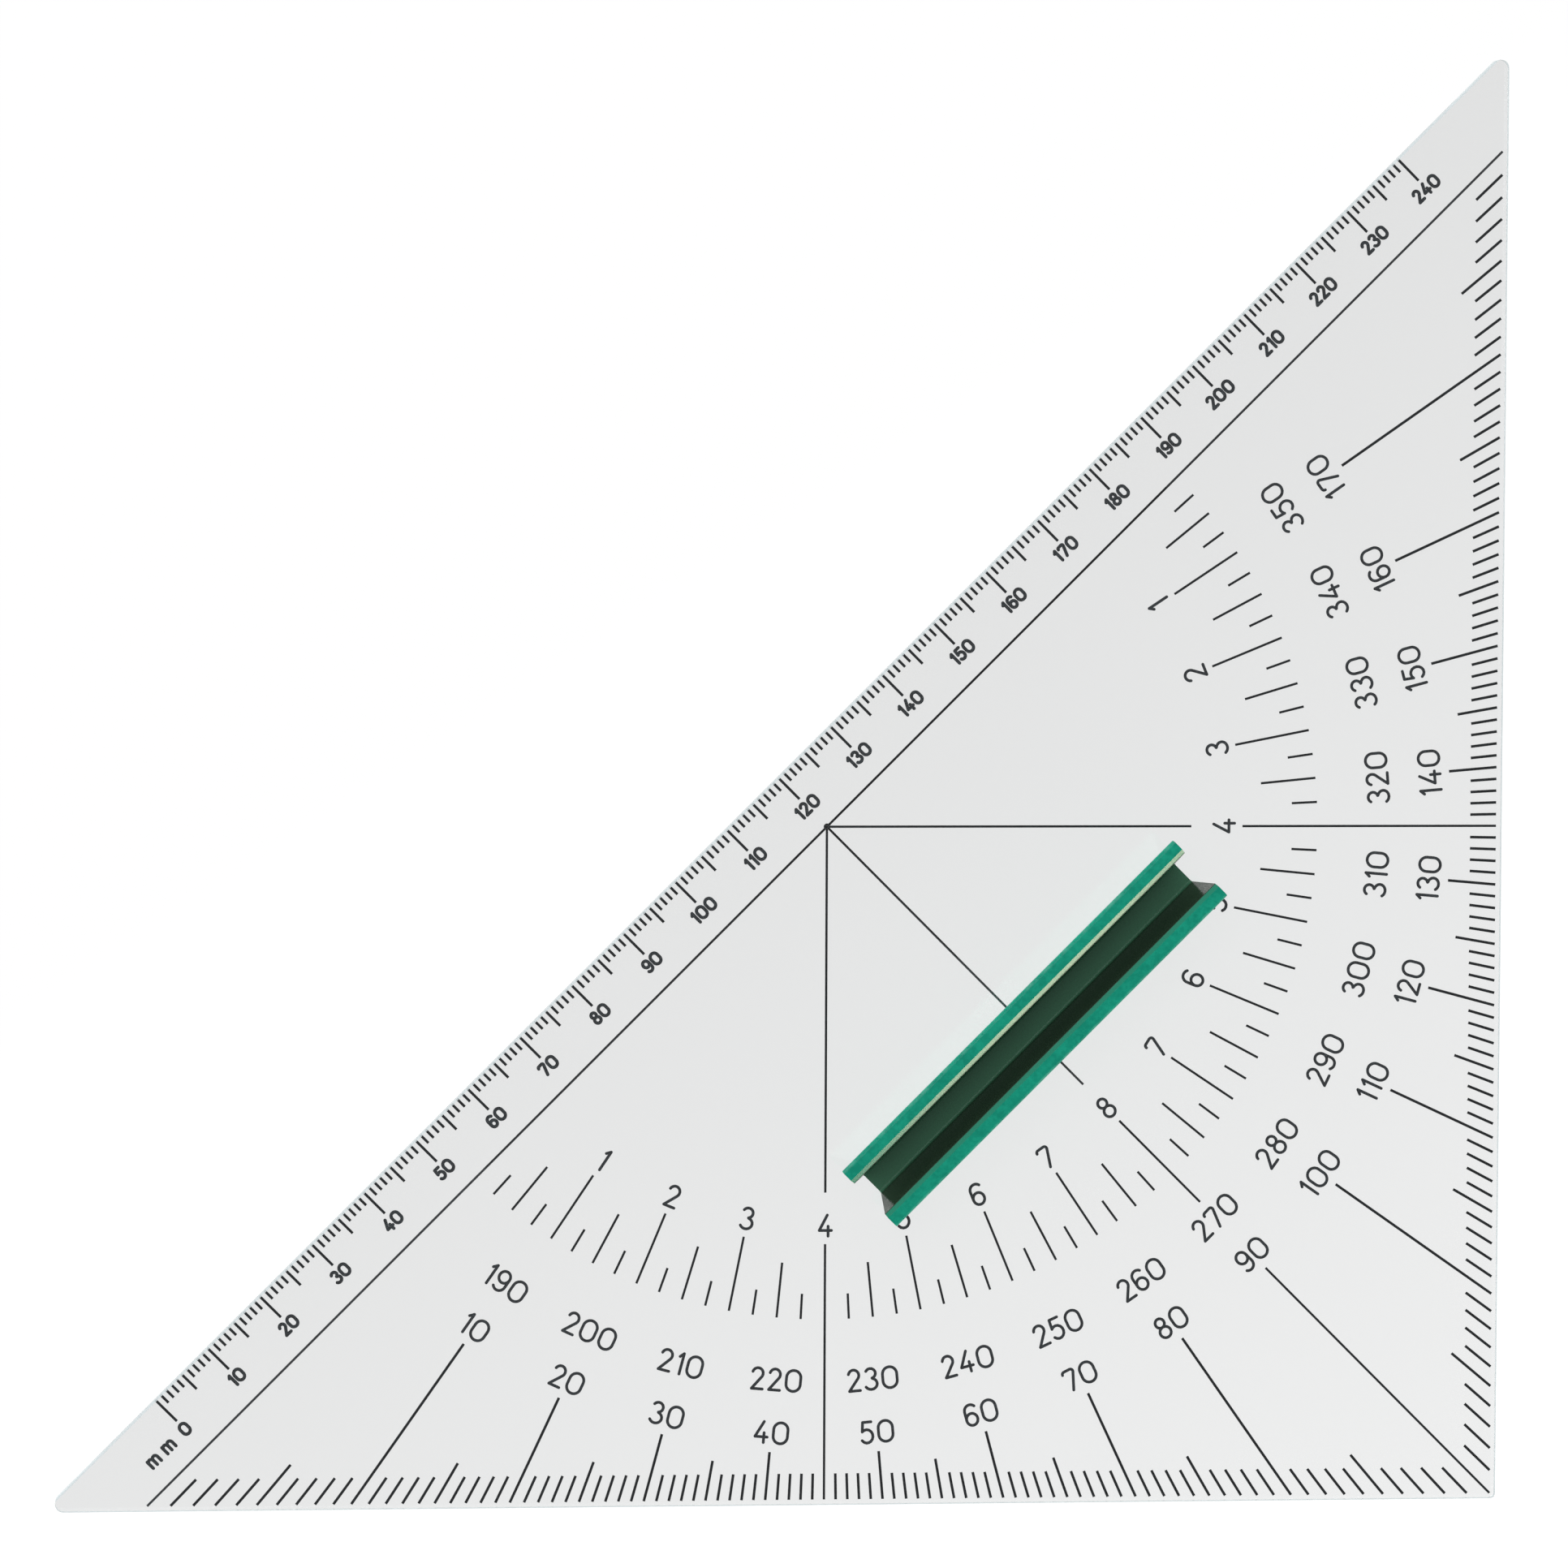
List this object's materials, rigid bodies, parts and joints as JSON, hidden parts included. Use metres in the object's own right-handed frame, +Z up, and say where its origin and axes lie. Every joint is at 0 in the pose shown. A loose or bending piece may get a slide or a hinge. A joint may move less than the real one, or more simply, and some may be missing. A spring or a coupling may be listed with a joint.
{
  "type": "nautical protractor triangle",
  "caption": "Clear navigation set square with degree, compass-point and millimetre scales and a clip-in grip.",
  "frame": {"origin": "middle of the outline's box, on the underside that lies on the chart", "axes": "+Z up from the chart, +X along the lower short edge towards the right angle, +Y along the right short edge away from it"},
  "size_m": [0.1984, 0.1984, 0.0116],
  "materials": {
    "clear_acrylic": "polished, clear",
    "green_plastic": "moulded, satin",
    "black_ink": "printed ink"
  },
  "bodies": {
    "plate": {"plate": "clear_acrylic", "ruled_lines": "black_ink", "millimetre_scale": "black_ink", "degree_scale": "black_ink", "point_scale": "black_ink"},
    "handle": {"handle": "green_plastic"}
  },
  "joints": [
    {"name": "handle_lift", "type": "slide", "parent": "plate", "child": "handle", "axis": [0, 0, 1], "range_m": [0, 0.015]}
  ]
}
